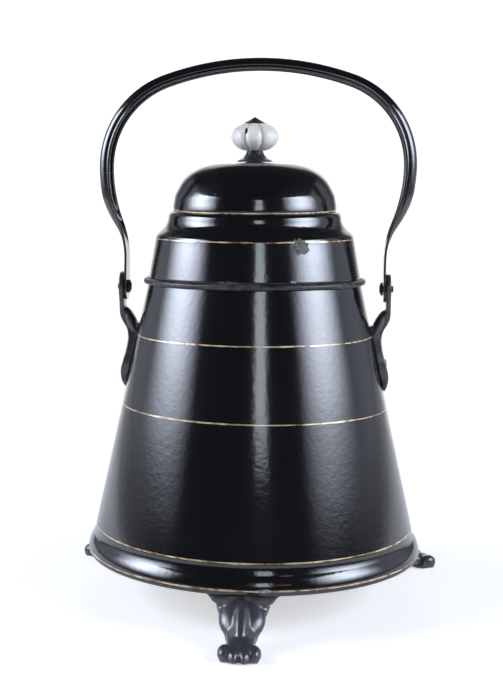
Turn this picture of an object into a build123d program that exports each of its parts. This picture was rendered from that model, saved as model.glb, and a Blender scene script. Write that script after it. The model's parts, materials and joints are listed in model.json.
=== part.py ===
from build123d import *
from math import acos, atan2, cos, degrees, radians, sin, sqrt, tan
import os

# A charcoal extinguisher: a conical sheet-steel pot on three cast paw feet, with a domed lid that slides
# over its neck, a glass knob, and a bail handle that swings on two riveted ears. Glowing coals go in and
# the lid goes on.
# Millimetres, +Z up. The origin is on the pot's axis at floor level. The front foot points along -Y and
# the handle's pivots lie above the X axis.

os.makedirs("parts", exist_ok=True)

# Sheet and fits
sheet = 1.0
seat_fit = 0.05
lid_side_clearance = 0.45
lid_seat_gap = 0.3

# Cone of the pot, measured on its outside
cone_bottom_z = 51.0
cone_bottom_radius = 118.6
cone_top_radius = 80.7
neck_step = 0.4
neck_height = 31.0
neck_hem = 3.0
seam_width = 7.0
seam_height = 0.7

# Base moulding and floor. The steps tell how far the moulding stands out from the cone's lower edge, and its
# rises are measured from its own bottom.
base_height = 19.2
base_foot_step = 4.1
base_widest_rise = 1.8
base_widest_step = 5.4
base_crease_rise = 12.7
base_crease_step = 1.4
base_top_inset = 0.2
base_lap = 8.0
base_wall = 1.6
base_flange_width = 24.6
floor_rim_gap = 1.4
floor_rim_height = 5.5
floor_rim_width = 34.0
floor_panel_rise = 3.0

# Lid, measured on its outside. Skirt, shoulder and waist are given by the corners that they meet in, and
# the insets tell how far each corner lies inside the cone's upper edge.
bead_center_z = 233.0
bead_radius = 2.3
skirt_bottom_inset = 0.2
skirt_top_inset = 5.9
skirt_height = 34.2
shoulder_round = 7.5
shoulder_height = 4.6
waist_bottom_inset = 13.9
waist_round = 5.0
waist_top_inset = 16.2
waist_height = 13.0
ledge_round = 1.2
dome_side_inset = 19.3
dome_side_height = 4.0
dome_corner_radius = 31.7
dome_crown_angle = 87.0
dome_lock_width = 1.8
knob_seat_radius = 9.0

# Knob
collar_height = 10.6
collar_rim_height = 2.4
collar_rim_radius = 13.8
collar_rim_edge = 0.8
collar_waist_height = 6.0
collar_waist_radius = 8.6
collar_top_radius = 6.0
collar_foot_radius = 7.8
knob_lobes = 8
knob_half_height = 10.3
knob_radius = 18.0
knob_end_radius = 10.4
knob_groove_share = 0.894
knob_steps = 3
cap_height = 5.0
cap_edge = 0.8
cap_point_radius = 9.6
cap_valley_radius = 7.4
cap_neck_radius = 2.6
cap_neck_share = 0.4
cap_neck_taper = 30.0
stud_radius = 2.5
stud_clearance = 0.3
stud_tail = 3.0
washer_radius = 7.0
washer_thickness = 1.5
nut_radius = 4.6
nut_height = 5.0

# Handle and its pivots
pivot_z = 227.7
pivot_radius = 2.5
pivot_clearance = 0.08
pivot_head_radius = 5.0
pivot_head_height = 2.4
pivot_stub_length = 2.0
pivot_stub_chamfer = 0.6
handle_gap = 0.3
handle_sheet = 1.8
strip_stand_off = 16.2
strip_width = 19.0
strip_end_radius = 10.2
strip_top_z = 247.4
strip_bend_radius = 80.7
strip_flat_angle = 8.0
channel_start_angle = 12.0
channel_half_width = 10.0
channel_half_angle = 84.0
forming_half_angle = 62.0
bail_swell = 14.3
bail_widest_z = 321.0
bail_side_radius = 64.0
bail_side_angle = 70.0

# Brackets
ear_thickness = 3.6
ear_radius = 11.5
ear_foot_drop = 14.0
bracket_tip_z = 150.5
leaf_half_width = 12.5
leaf_z = 168.0
bracket_neck_half_width = 6.5
bracket_neck_z = 196.0
bracket_neck_thickness = 9.0
bracket_root = 4.0
bracket_tip_thickness = 1.2
ear_outer_run = 4.0
ear_wrap_angle = 30.0
pad_thickness = 5.9
rivet_seat_depth = 1.0
rivet_z = 171.0
rivet_radius = 2.0
rivet_head_radius = 3.6
rivet_head_height = 1.6
rivet_head_taper = 35.0

# Feet, measured along their own radius
foot_names = ("foot_front", "foot_right", "foot_left")
flange_set_back = 1.6
flange_depth = 19.0
flange_half_width = 25.5
flange_narrowing = 4.0
flange_thickness = 3.4
cuff_drop = 3.8
cuff_offset = 12.6
cuff_radius = 12.0
cuff_depth = 6.0
leg_half_width = 18.4
leg_reach = 42.0
ridge_width = 5.6
ridge_height = 2.0
toe_radius = 3.8
toe_sink = 1.0
toe_spacing = 6.4
toe_length = 8.0
toe_set_back = 3.0
toe_tip_length = 5.0
toe_tip_taper = 26.0
foot_rivet_inset = 11.0
foot_rivet_offset = 15.0

# Worked-out values
foot_angles = {name: 360 * place / len(foot_names) - 90 for place, name in enumerate(foot_names)}
strip_inner_x = cone_top_radius + strip_stand_off
skirt_bottom_radius = cone_top_radius - skirt_bottom_inset
skirt_top_radius = cone_top_radius - skirt_top_inset
skirt_top_z = bead_center_z + skirt_height
bead_center_radius = skirt_bottom_radius - sheet + bead_radius
bead_reach = bead_radius + lid_seat_gap
cone_top_z = bead_center_z - sqrt(bead_reach**2 - (bead_center_radius - cone_top_radius) ** 2)
cone_taper = (cone_bottom_radius - cone_top_radius) / (cone_top_z - cone_bottom_z)
skirt_taper = (skirt_bottom_radius - skirt_top_radius) / (skirt_top_z - bead_center_z)
base_bottom_z = cone_bottom_z - base_height
base_foot_radius = cone_bottom_radius + base_foot_step
flange_bottom_z = base_bottom_z - flange_thickness
flange_outer_radius = base_foot_radius - flange_set_back
foot_rivet_circle = flange_outer_radius - foot_rivet_inset


def cone_radius(z):
    return cone_bottom_radius - cone_taper * (z - cone_bottom_z)


def neck_radius(z):
    return skirt_bottom_radius - skirt_taper * (z - bead_center_z) - sheet - lid_side_clearance


def polar(radius, angle):
    return (radius * cos(radians(angle)), radius * sin(radians(angle)))


def foot_rivet_spots():
    """Two rivets for each foot, as places seen from above."""
    spread = degrees(atan2(foot_rivet_offset, foot_rivet_circle))
    reach = sqrt(foot_rivet_circle**2 + foot_rivet_offset**2)
    return [polar(reach, angle + side * spread) for angle in foot_angles.values() for side in (1, -1)]


def rivet_plane(side):
    """The plane across a bracket's rivet, on the cone, with its normal pointing out."""
    return Plane(origin=(side * cone_radius(rivet_z), 0, rivet_z), z_dir=(side, 0, cone_taper))


# Pot wall: the cone, a small step, and the neck that the lid slides over, with a hem turned inward
neck_bottom_z = cone_top_z + neck_step
neck_top_z = cone_top_z + neck_height

with BuildPart() as body_shell:
    with BuildSketch(Plane.XZ):
        with BuildLine():
            Polyline(
                (cone_bottom_radius, cone_bottom_z),
                (cone_top_radius, cone_top_z),
                (neck_radius(neck_bottom_z), neck_bottom_z),
                (neck_radius(neck_top_z), neck_top_z),
                (neck_radius(neck_top_z) - neck_hem, neck_top_z),
                (neck_radius(neck_top_z) - neck_hem, neck_top_z - sheet),
                (neck_radius(neck_top_z) - sheet, neck_top_z - sheet),
                (neck_radius(neck_bottom_z) - sheet, neck_bottom_z),
                (cone_radius(cone_top_z - sheet) - sheet, cone_top_z - sheet),
                (cone_bottom_radius - sheet, cone_bottom_z),
                close=True,
            )
        make_face()
    revolve(axis=Axis.Z)
    # The lap of the side seam, at the back
    with BuildSketch(Plane.YZ):
        with BuildLine():
            Polyline(
                (cone_bottom_radius - sheet / 2, cone_bottom_z),
                (cone_bottom_radius + seam_height, cone_bottom_z),
                (cone_top_radius + seam_height, cone_top_z - 2 * sheet),
                (cone_top_radius - sheet / 2, cone_top_z - 2 * sheet),
                close=True,
            )
        make_face()
    extrude(amount=seam_width / 2, both=True)
    # Holes for the rivets of the two brackets
    for side in (1, -1):
        with BuildSketch(rivet_plane(side)):
            Circle(rivet_radius + seat_fit)
        extrude(amount=2 * sheet, both=True, mode=Mode.SUBTRACT)
body_shell.part.label = "body_shell"
export_step(body_shell.part, "parts/body_shell.step")

# Base moulding: a lap inside the cone, a cove, a round that swells to the rim, and a flange turned inward
base_top_radius = cone_bottom_radius - base_top_inset
base_crease_z = base_bottom_z + base_crease_rise
base_crease_radius = cone_bottom_radius + base_crease_step
base_widest_z = base_bottom_z + base_widest_rise
base_widest_radius = cone_bottom_radius + base_widest_step
base_flange_inner_radius = base_foot_radius - base_flange_width

with BuildPart() as base_ring:
    with BuildSketch(Plane.XZ):
        with BuildLine():
            lap_top_z = cone_bottom_z + base_lap
            lap_top_radius = cone_radius(lap_top_z) - sheet - seat_fit
            lap_bottom_radius = cone_radius(cone_bottom_z) - sheet - seat_fit
            cove = TangentArc(
                (base_top_radius, cone_bottom_z), (base_crease_radius, base_crease_z), tangent=(0, -1)
            )
            swell = TangentArc(
                (base_widest_radius, base_widest_z), (base_crease_radius, base_crease_z), tangent=(0, 1)
            )
            rim = TangentArc(
                (base_widest_radius, base_widest_z), (base_foot_radius, base_bottom_z), tangent=(0, -1)
            )
            Polyline(
                (base_top_radius, cone_bottom_z),
                (lap_bottom_radius, cone_bottom_z),
                (lap_top_radius, lap_top_z),
                (lap_top_radius - sheet, lap_top_z),
                (lap_bottom_radius - sheet, cone_bottom_z),
                (base_crease_radius - base_wall, base_crease_z),
                (base_widest_radius - base_wall, base_widest_z),
                (base_foot_radius - base_wall, base_bottom_z + sheet),
                (base_flange_inner_radius, base_bottom_z + sheet),
                (base_flange_inner_radius, base_bottom_z),
                (base_foot_radius, base_bottom_z),
            )
        make_face()
    revolve(axis=Axis.Z)
    with BuildSketch(Plane.XY.offset(base_bottom_z)):
        with Locations(*foot_rivet_spots()):
            Circle(rivet_radius + seat_fit)
    extrude(amount=sheet, mode=Mode.SUBTRACT)
base_ring.part.label = "base_ring"
export_step(base_ring.part, "parts/base_ring.step")

# Floor: a disc that lies on the flange, with its edge turned up and its middle raised
floor_bottom_z = base_bottom_z + sheet
floor_rim_radius = base_foot_radius - base_wall - floor_rim_gap
floor_panel_radius = floor_rim_radius - floor_rim_width

with BuildPart() as body_floor:
    with BuildSketch(Plane.XZ):
        with BuildLine():
            Polyline(
                (0, floor_bottom_z + floor_panel_rise),
                (floor_panel_radius, floor_bottom_z + floor_panel_rise),
                (floor_panel_radius + floor_panel_rise, floor_bottom_z),
                (floor_rim_radius, floor_bottom_z),
                (floor_rim_radius, floor_bottom_z + floor_rim_height),
                (floor_rim_radius - sheet, floor_bottom_z + floor_rim_height),
                (floor_rim_radius - sheet, floor_bottom_z + sheet),
                (floor_panel_radius + floor_panel_rise, floor_bottom_z + sheet),
                (floor_panel_radius, floor_bottom_z + floor_panel_rise + sheet),
                (0, floor_bottom_z + floor_panel_rise + sheet),
                close=True,
            )
        make_face()
    revolve(axis=Axis.Z)
    with BuildSketch(Plane.XY.offset(floor_bottom_z)):
        with Locations(*foot_rivet_spots()):
            Circle(rivet_radius + seat_fit)
    extrude(amount=sheet, mode=Mode.SUBTRACT)
body_floor.part.label = "body_floor"
export_step(body_floor.part, "parts/body_floor.step")

# Feet: each is a flange under the base moulding, two hanging cuffs, a leg that narrows to the ankle, and
# a paw. A leg's stations give shares: how far along the leg, how wide, and the heights of top and bottom
# as shares of the moulding's height above the floor.
flange_inner_radius = flange_outer_radius - flange_depth
leg_root_radius = flange_outer_radius - cuff_depth
toe_tip_radius = leg_root_radius + leg_reach
toe_root_radius = toe_tip_radius - toe_length
leg_shares = (
    (0.00, 1.00, 0.93, 0.70),
    (0.29, 0.71, 0.70, 0.35),
    (0.50, 0.52, 0.55, 0.11),
    (0.67, 0.48, 0.42, 0.00),
    (0.81, 0.60, 0.34, 0.00),
    (0.92, 0.68, 0.30, 0.00),
    (1.00, 0.68, 0.20, 0.00),
)
leg_stations = [
    (leg_root_radius + reach * leg_reach, width * leg_half_width, top * base_bottom_z, bottom * base_bottom_z)
    for reach, width, top, bottom in leg_shares
]


def station_plane(foot_angle, radius):
    """Stands across a foot at a distance from the pot's axis, with its own +X along the width."""
    return Plane(
        origin=polar(radius, foot_angle) + (0,),
        x_dir=polar(1, foot_angle + 90) + (0,),
        z_dir=polar(1, foot_angle) + (0,),
    )


for name, foot_angle in foot_angles.items():
    along_foot = polar(1, foot_angle) + (0,)
    plan_plane = Plane(origin=(0, 0, base_bottom_z), x_dir=along_foot, z_dir=(0, 0, 1))
    side_plane = Plane(origin=(0, 0, 0), x_dir=along_foot, z_dir=polar(1, foot_angle - 90) + (0,))
    with BuildPart() as foot:
        # Flange, with its front edge round like the moulding above it, and narrower at its underside
        with BuildSketch(plan_plane):
            Circle(flange_outer_radius)
            Circle(flange_inner_radius, mode=Mode.SUBTRACT)
            Rectangle(
                flange_outer_radius,
                2 * flange_half_width,
                align=(Align.MIN, Align.CENTER),
                mode=Mode.INTERSECT,
            )
            with Locations((foot_rivet_circle, foot_rivet_offset), (foot_rivet_circle, -foot_rivet_offset)):
                Circle(rivet_radius + seat_fit, mode=Mode.SUBTRACT)
        extrude(amount=-flange_thickness)
        with BuildSketch(station_plane(foot_angle, 0)):
            under_half_width = flange_half_width - flange_narrowing
            with BuildLine():
                Polyline(
                    (flange_half_width, base_bottom_z),
                    (under_half_width, flange_bottom_z),
                    (-under_half_width, flange_bottom_z),
                    (-flange_half_width, base_bottom_z),
                    close=True,
                )
            make_face()
        extrude(amount=flange_outer_radius, mode=Mode.INTERSECT)
        # Cuffs that hang from the flange
        with BuildSketch(station_plane(foot_angle, leg_root_radius)):
            cuff_z = flange_bottom_z - cuff_drop + cuff_radius
            with Locations((cuff_offset, cuff_z), (-cuff_offset, cuff_z)):
                Circle(cuff_radius)
            with Locations((0, flange_bottom_z)):
                Rectangle(
                    2 * flange_outer_radius,
                    2 * cuff_radius,
                    align=(Align.CENTER, Align.MIN),
                    mode=Mode.SUBTRACT,
                )
        extrude(amount=cuff_depth - 2 * seat_fit)
        # Leg and instep, as round-topped sections
        for radius, half_width, top_z, bottom_z in leg_stations:
            with BuildSketch(station_plane(foot_angle, radius)):
                with BuildLine():
                    side_z = (top_z + bottom_z) / 2
                    over = ThreePointArc((half_width, side_z), (0, top_z), (-half_width, side_z))
                    Polyline(over @ 1, (-half_width, bottom_z), (half_width, bottom_z), over @ 0)
                make_face()
        loft(ruled=True)
        # Ridge down the middle of the leg, from the flange to the ankle
        with BuildSketch(side_plane):
            with BuildLine():
                ridge_stations = [station for station in leg_stations if station[0] < toe_root_radius]
                ridge_crest = [(radius, top_z + ridge_height) for radius, _, top_z, _ in ridge_stations]
                ridge_under = [(radius, bottom_z) for radius, _, _, bottom_z in reversed(ridge_stations)]
                Polyline(*ridge_crest, *ridge_under, close=True)
            make_face()
        extrude(amount=ridge_width / 2, both=True)
        # Four toes with blunt tips, cut flat where they stand
        for toe, set_back in ((-1.5, toe_set_back), (-0.5, 0), (0.5, 0), (1.5, toe_set_back)):
            for radius, length, taper in (
                (toe_root_radius, toe_length, 0),
                (toe_tip_radius, toe_tip_length, toe_tip_taper),
            ):
                with BuildSketch(station_plane(foot_angle, radius - set_back)):
                    with Locations((toe * toe_spacing, toe_radius - toe_sink)):
                        Circle(toe_radius)
                extrude(amount=length, taper=taper)
        split(bisect_by=Plane.XY, keep=Keep.TOP)
    foot.part.label = name
    export_step(foot.part, f"parts/{name}.step")

# Rivets that hold the feet, through the foot, the moulding's flange and the floor
with BuildPart() as foot_rivets:
    with BuildSketch(Plane.XY.offset(flange_bottom_z)):
        with Locations(*foot_rivet_spots()):
            Circle(rivet_radius)
    extrude(amount=flange_thickness + 2 * sheet)
    for head_z, way in ((flange_bottom_z, -1), (floor_bottom_z + sheet, 1)):
        with BuildSketch(Plane.XY.offset(head_z)):
            with Locations(*foot_rivet_spots()):
                Circle(rivet_head_radius)
        extrude(amount=way * rivet_head_height, taper=rivet_head_taper)
foot_rivets.part.label = "foot_rivets"
export_step(foot_rivets.part, "parts/foot_rivets.step")

# Brackets: a leaf on the cone, a narrow neck, and an ear for the handle's pivot
ear_inner_x = strip_inner_x + handle_sheet + handle_gap
ear_outer_x = ear_inner_x + ear_thickness
ear_top_z = pivot_z + ear_radius
ear_foot_z = pivot_z - ear_foot_drop

with BuildPart() as bracket_right:
    with BuildSketch(Plane.XZ):
        with BuildLine():
            outer_face = Spline(
                (ear_outer_x, ear_foot_z - ear_outer_run),
                (cone_radius(bracket_neck_z) + bracket_neck_thickness, bracket_neck_z),
                (cone_radius(rivet_z) + pad_thickness, rivet_z),
                (cone_radius(bracket_tip_z) + bracket_tip_thickness, bracket_tip_z),
                tangents=[(0, -1), (-0.3, -1)],
            )
            inner_face = TangentArc(
                (ear_inner_x, ear_foot_z),
                (cone_radius(bracket_neck_z) - bracket_root, bracket_neck_z + bracket_root),
                tangent=(0, -1),
            )
            Polyline(
                outer_face @ 1,
                (cone_radius(bracket_tip_z) - bracket_root, bracket_tip_z),
                inner_face @ 1,
            )
            Polyline(outer_face @ 0, (ear_outer_x, ear_top_z), (ear_inner_x, ear_top_z), inner_face @ 0)
        make_face()
    extrude(amount=2 * ear_radius, both=True)
    with BuildSketch(Plane.YZ.offset(cone_top_radius)):
        with BuildLine():
            ear_arc = CenterArc((0, pivot_z), ear_radius, 90, -90 - ear_wrap_angle)
            half_outline = Spline(
                ear_arc @ 1,
                (bracket_neck_half_width, bracket_neck_z),
                (leaf_half_width, leaf_z),
                (0, bracket_tip_z),
                tangents=[ear_arc % 1, (-1, -0.4)],
            )
            Line(ear_arc @ 0, half_outline @ 1)
        make_face()
        mirror(about=Plane.YZ)
    extrude(amount=ear_outer_x, mode=Mode.INTERSECT)
    with BuildSketch(Plane.XZ):
        with BuildLine():
            Polyline(
                (0, cone_bottom_z),
                (cone_bottom_radius + seat_fit, cone_bottom_z),
                (cone_top_radius + seat_fit, cone_top_z),
                (0, cone_top_z),
                close=True,
            )
        make_face()
    revolve(axis=Axis.Z, mode=Mode.SUBTRACT)
    with BuildSketch(Plane.YZ.offset(ear_inner_x)):
        with Locations((0, pivot_z)):
            Circle(pivot_radius + seat_fit)
    extrude(amount=ear_thickness, mode=Mode.SUBTRACT)
    with BuildSketch(rivet_plane(1)):
        Circle(rivet_radius + seat_fit)
    extrude(amount=2 * pad_thickness, both=True, mode=Mode.SUBTRACT)
    with BuildSketch(rivet_plane(1).offset(pad_thickness - rivet_seat_depth)):
        Circle(rivet_head_radius + rivet_seat_depth)
    extrude(amount=pad_thickness, mode=Mode.SUBTRACT)
bracket_right.part.label = "bracket_right"
export_step(bracket_right.part, "parts/bracket_right.step")

with BuildPart() as bracket_left:
    mirror(bracket_right.part, about=Plane.YZ)
bracket_left.part.label = "bracket_left"
export_step(bracket_left.part, "parts/bracket_left.step")

# Rivets through the leaves of the brackets and the pot's wall
with BuildPart() as bracket_rivets:
    for side in (1, -1):
        with BuildSketch(rivet_plane(side).offset(-sheet - 2 * seat_fit)):
            Circle(rivet_radius)
        extrude(amount=pad_thickness - rivet_seat_depth + sheet + 2 * seat_fit)
        with BuildSketch(rivet_plane(side).offset(pad_thickness - rivet_seat_depth)):
            Circle(rivet_head_radius)
        extrude(amount=rivet_head_height, taper=rivet_head_taper)
        with BuildSketch(rivet_plane(side).offset(-sheet - 2 * seat_fit)):
            Circle(rivet_head_radius)
        extrude(amount=-rivet_head_height, taper=rivet_head_taper)
bracket_rivets.part.label = "bracket_rivets"
export_step(bracket_rivets.part, "parts/bracket_rivets.step")

# Pivot rivets: a domed head inside the handle's strip, a pin through strip and ear, and a peened end outside
with BuildPart() as pivot_rivets:
    head_face_x = strip_inner_x - handle_gap
    with BuildSketch(Plane.XZ):
        with BuildLine():
            Polyline(
                (head_face_x - pivot_head_height, pivot_z),
                (head_face_x - pivot_head_height, pivot_z + pivot_head_radius / 2),
                (head_face_x - pivot_head_height / 2, pivot_z + pivot_head_radius),
                (head_face_x, pivot_z + pivot_head_radius),
                (head_face_x, pivot_z + pivot_radius),
                (ear_outer_x + pivot_stub_length - pivot_stub_chamfer, pivot_z + pivot_radius),
                (ear_outer_x + pivot_stub_length, pivot_z + pivot_radius - pivot_stub_chamfer),
                (ear_outer_x + pivot_stub_length, pivot_z),
                close=True,
            )
        make_face()
    revolve(axis=Axis((0, 0, pivot_z), (1, 0, 0)))
    mirror(about=Plane.YZ)
pivot_rivets.part.label = "pivot_rivets"
export_step(pivot_rivets.part, "parts/pivot_rivets.step")

# Handle: a flat strip at each pivot that is pressed into a channel and goes over the lid in one bow
bail_half_width = strip_inner_x + bail_swell
bend_angle = 2 * degrees(atan2(bail_half_width - strip_inner_x, bail_widest_z - strip_top_z))
upper_bend_radius = (bail_widest_z - strip_top_z) / sin(radians(bend_angle)) - strip_bend_radius
top_bow_radius = bail_side_radius + (bail_half_width - bail_side_radius) / cos(radians(bail_side_angle))


def path_plane(line, share):
    """Stands across the handle's path, with its own +X pointing away from the lid."""
    along = line % share
    return Plane(origin=line @ share, x_dir=(along.Z, 0, -along.X), z_dir=along)


def channel_section(plane, half_angle):
    """A channel's section: two arcs round one centre, with the ends of the inner one on the path."""
    outer_radius = channel_half_width / sin(radians(half_angle))
    inner_radius = outer_radius - handle_sheet
    center = (-inner_radius * cos(radians(half_angle)), 0)
    with BuildSketch(plane) as section:
        with BuildLine():
            back = CenterArc(center, outer_radius, -half_angle, 2 * half_angle)
            hollow = CenterArc(center, inner_radius, -half_angle, 2 * half_angle)
            Line(back @ 0, hollow @ 0)
            Line(back @ 1, hollow @ 1)
        make_face()
    return section.sketch


def strip_section(plane):
    with BuildSketch(plane) as section:
        with Locations((handle_sheet / 2, 0)):
            Rectangle(handle_sheet, strip_width)
    return section.sketch


with BuildLine(Plane.XZ):
    flat_bend = JernArc((strip_inner_x, strip_top_z), (0, 1), strip_bend_radius, -strip_flat_angle)
    forming_bend = JernArc(flat_bend @ 1, flat_bend % 1, strip_bend_radius, strip_flat_angle - bend_angle)
    forming_end = JernArc(forming_bend @ 1, forming_bend % 1, upper_bend_radius, channel_start_angle)

with BuildLine(Plane.XZ) as bow_line:
    upper_bend_angle = bend_angle - channel_start_angle
    upper_bend = JernArc(forming_end @ 1, forming_end % 1, upper_bend_radius, upper_bend_angle)
    side_bow = JernArc(upper_bend @ 1, upper_bend % 1, bail_side_radius, bail_side_angle)
    top_bow = JernArc(side_bow @ 1, side_bow % 1, top_bow_radius, 90 - bail_side_angle)

with BuildPart() as handle:
    with BuildSketch(Plane.YZ.offset(strip_inner_x)):
        with Locations((0, pivot_z)):
            Circle(strip_end_radius)
            Rectangle(strip_width, strip_top_z - pivot_z, align=(Align.CENTER, Align.MIN))
            Circle(pivot_radius + pivot_clearance, mode=Mode.SUBTRACT)
    extrude(amount=handle_sheet)
    sweep(sections=strip_section(path_plane(flat_bend, 0)), path=flat_bend)
    loft(
        sections=[
            strip_section(path_plane(flat_bend, 1)),
            channel_section(path_plane(forming_bend, 1), forming_half_angle),
            channel_section(path_plane(forming_end, 1), channel_half_angle),
        ]
    )
    sweep(sections=channel_section(path_plane(upper_bend, 0), channel_half_angle), path=bow_line.line)
    mirror(about=Plane.YZ)
handle.part.label = "handle"
export_step(handle.part, "parts/handle.step")

# Lid: a skirt with a solid bead at its edge, a sloping shoulder, a waist, and a ledge that carries the dome
waist_bottom_radius = cone_top_radius - waist_bottom_inset
waist_bottom_z = skirt_top_z + shoulder_height
waist_top_radius = cone_top_radius - waist_top_inset
waist_top_z = waist_bottom_z + waist_height
dome_side_radius = cone_top_radius - dome_side_inset

with BuildPart() as lid_skirt:
    with BuildSketch(Plane.XZ):
        with BuildLine():
            outside = FilletPolyline(
                (skirt_bottom_radius, bead_center_z),
                (skirt_top_radius, skirt_top_z),
                (waist_bottom_radius, waist_bottom_z),
                (waist_top_radius, waist_top_z),
                (dome_side_radius + seat_fit, waist_top_z),
                radius=[shoulder_round, waist_round, ledge_round],
            )
            offset(outside, amount=sheet, side=Side.LEFT)
        make_face()
        with Locations((bead_center_radius, bead_center_z)):
            Circle(bead_radius)
    revolve(axis=Axis.Z)
lid_skirt.part.label = "lid_skirt"
export_step(lid_skirt.part, "parts/lid_skirt.step")

# Dome, with its edge turned out under the ledge
dome_corner_z = waist_top_z + dome_side_height
corner_center_radius = dome_side_radius - dome_corner_radius
crown_radius = dome_corner_radius + corner_center_radius / cos(radians(dome_crown_angle))
crown_center_z = dome_corner_z - corner_center_radius * tan(radians(dome_crown_angle))
knob_seat_angle = degrees(acos(knob_seat_radius / crown_radius))
knob_seat_z = crown_center_z + sqrt(crown_radius**2 - knob_seat_radius**2)
ledge_under_z = waist_top_z - sheet

with BuildPart() as lid_dome:
    with BuildSketch(Plane.XZ):
        with BuildLine():
            Line((dome_side_radius, ledge_under_z - sheet), (dome_side_radius, dome_corner_z))
            CenterArc((corner_center_radius, dome_corner_z), dome_corner_radius, 0, dome_crown_angle)
            CenterArc((0, crown_center_z), crown_radius, dome_crown_angle, knob_seat_angle - dome_crown_angle)
            Line((knob_seat_radius, knob_seat_z), (stud_radius + stud_clearance, knob_seat_z))
            offset(amount=sheet, side=Side.LEFT)
        make_face()
        with Locations((dome_side_radius, ledge_under_z - sheet / 2)):
            Rectangle(dome_lock_width, sheet, align=(Align.MIN, Align.CENTER))
    revolve(axis=Axis.Z)
lid_dome.part.label = "lid_dome"
export_step(lid_dome.part, "parts/lid_dome.step")

# Collar under the knob, flared towards the lid
with BuildPart() as knob_collar:
    with BuildSketch(Plane.XZ):
        with BuildLine():
            Polyline(
                (stud_radius + stud_clearance, knob_seat_z),
                (collar_foot_radius, knob_seat_z),
                (collar_rim_radius, knob_seat_z + collar_rim_height - collar_rim_edge),
                (collar_rim_radius, knob_seat_z + collar_rim_height),
                (collar_waist_radius, knob_seat_z + collar_waist_height),
                (collar_top_radius, knob_seat_z + collar_height),
                (stud_radius + stud_clearance, knob_seat_z + collar_height),
                close=True,
            )
        make_face()
    revolve(axis=Axis.Z)
knob_collar.part.label = "knob_collar"
export_step(knob_collar.part, "parts/knob_collar.step")

# Melon-shaped knob: lobed outlines at several heights, widest in the middle
knob_bottom_z = knob_seat_z + collar_height
knob_middle_z = knob_bottom_z + knob_half_height
knob_top_z = knob_middle_z + knob_half_height
lobe_angle = 360 / knob_lobes

with BuildPart() as knob:
    for step in range(-knob_steps, knob_steps + 1):
        level = 90 * step / knob_steps
        level_radius = knob_end_radius + (knob_radius - knob_end_radius) * cos(radians(level))
        groove_radius = level_radius * knob_groove_share
        with BuildSketch(Plane.XY.offset(knob_middle_z + knob_half_height * sin(radians(level)))):
            with BuildLine():
                for lobe in range(knob_lobes):
                    ThreePointArc(
                        polar(groove_radius, lobe_angle * (lobe - 0.5)),
                        polar(level_radius, lobe_angle * lobe),
                        polar(groove_radius, lobe_angle * (lobe + 0.5)),
                    )
            make_face()
    loft(ruled=True)
    with BuildSketch(Plane.XY.offset(knob_bottom_z)):
        Circle(stud_radius + stud_clearance)
    extrude(amount=2 * knob_half_height, mode=Mode.SUBTRACT)
knob.part.label = "knob"
export_step(knob.part, "parts/knob.step")

# Cap on the knob: a pointed nut whose edge runs out in a point over each groove
cap_steps = ((0, 1.0), (cap_edge, 0.93), (0.4 * cap_height, 0.62), (0.68 * cap_height, 0.3))

with BuildPart() as knob_cap:
    for height, share in cap_steps:
        with BuildSketch(Plane.XY.offset(knob_top_z + height)):
            with BuildLine():
                star = []
                for lobe in range(knob_lobes):
                    star.append(polar(share * cap_valley_radius, lobe_angle * lobe))
                    star.append(polar(share * cap_point_radius, lobe_angle * (lobe + 0.5)))
                Polyline(*star, close=True)
            make_face()
    loft(ruled=True)
    with BuildSketch(Plane.XY.offset(knob_top_z + (1 - cap_neck_share) * cap_height)):
        Circle(cap_neck_radius)
    extrude(amount=cap_neck_share * cap_height, taper=cap_neck_taper)
    with BuildSketch(Plane.XY.offset(knob_top_z)):
        Circle(stud_radius + seat_fit)
    extrude(amount=cap_edge, mode=Mode.SUBTRACT)
knob_cap.part.label = "knob_cap"
export_step(knob_cap.part, "parts/knob_cap.step")

# Stud through cap, knob, collar and dome, with its washer and nut inside the lid
dome_under_z = knob_seat_z - sheet
washer_under_z = dome_under_z - washer_thickness
nut_under_z = washer_under_z - nut_height

with BuildPart() as knob_stud:
    with BuildSketch(Plane.XY.offset(nut_under_z - stud_tail)):
        Circle(stud_radius)
    extrude(amount=knob_top_z + cap_edge - seat_fit - nut_under_z + stud_tail)
knob_stud.part.label = "knob_stud"
export_step(knob_stud.part, "parts/knob_stud.step")

with BuildPart() as knob_washer:
    with BuildSketch(Plane.XY.offset(washer_under_z)):
        Circle(washer_radius)
        Circle(stud_radius + stud_clearance, mode=Mode.SUBTRACT)
    extrude(amount=washer_thickness)
knob_washer.part.label = "knob_washer"
export_step(knob_washer.part, "parts/knob_washer.step")

with BuildPart() as knob_nut:
    with BuildSketch(Plane.XY.offset(nut_under_z)):
        RegularPolygon(nut_radius, 6)
        Circle(stud_radius + seat_fit, mode=Mode.SUBTRACT)
    extrude(amount=nut_height)
knob_nut.part.label = "knob_nut"
export_step(knob_nut.part, "parts/knob_nut.step")
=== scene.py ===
import json
import math

import bmesh
import bpy
from mathutils import Matrix, Vector


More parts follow.
